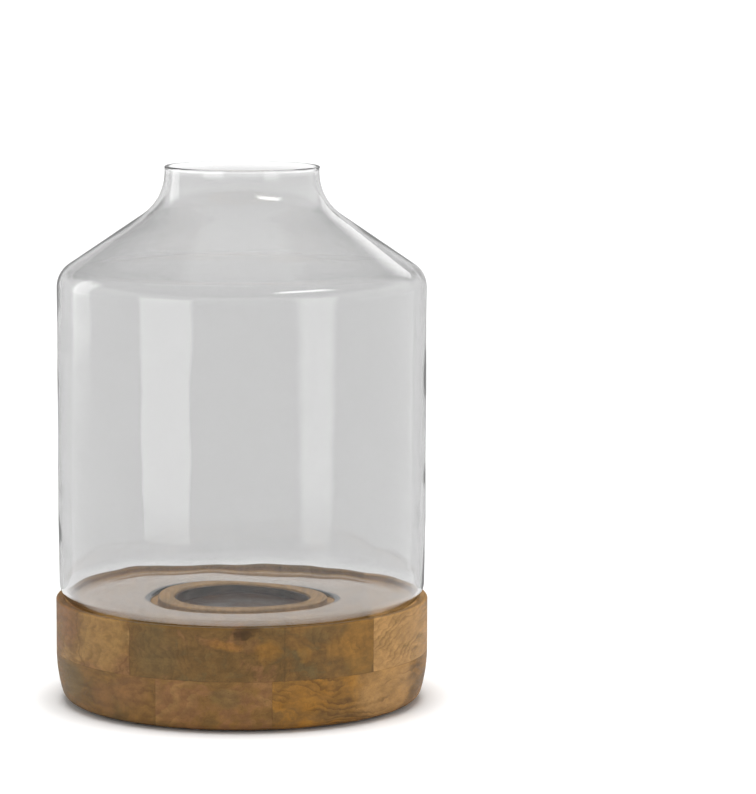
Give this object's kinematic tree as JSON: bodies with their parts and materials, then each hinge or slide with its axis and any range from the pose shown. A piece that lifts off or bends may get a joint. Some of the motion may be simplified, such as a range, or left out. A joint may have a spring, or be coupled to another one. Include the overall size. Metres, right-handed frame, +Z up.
{
  "type": "hurricane candle lantern",
  "caption": "Table-top candle lantern: bottle-shaped clear glass shade with an open neck, standing in the recess of a round, glued-up wooden base around a shallow candle pan.",
  "frame": {"origin": "centre of the surface that the lantern stands on, under the felt feet", "axes": "+Z up along the lantern's axis, towards the open neck; the base's planks run front to back, along Y"},
  "size_m": [0.2, 0.2, 0.2875],
  "materials": {
    "wood_olive": "satin oil on mango wood, grey-olive heartwood",
    "wood_rose": "satin oil on mango wood, pinkish brown",
    "wood_brown": "satin oil on mango wood, orange brown",
    "wood_gold": "satin oil on mango wood, golden",
    "clear_glass": "clear blown glass, faintly grey",
    "pan_metal": "dark bronze lacquer on pressed sheet steel",
    "felt": "dense wool felt"
  },
  "bodies": {
    "base": {"lower_plank_1": "wood_olive", "lower_plank_2": "wood_rose", "lower_plank_3": "wood_gold", "upper_plank_1": "wood_rose", "upper_plank_2": "wood_olive", "upper_plank_3": "wood_brown", "upper_plank_4": "wood_gold", "candle_pan": "pan_metal", "felt_foot_1": "felt", "felt_foot_2": "felt", "felt_foot_3": "felt", "felt_foot_4": "felt"},
    "shade": {"glass_shade": "clear_glass"}
  },
  "joints": [
    {"name": "shade_lift", "type": "slide", "parent": "base", "child": "shade", "axis": [0, 0, 1], "range_m": [0, 0.16]}
  ]
}
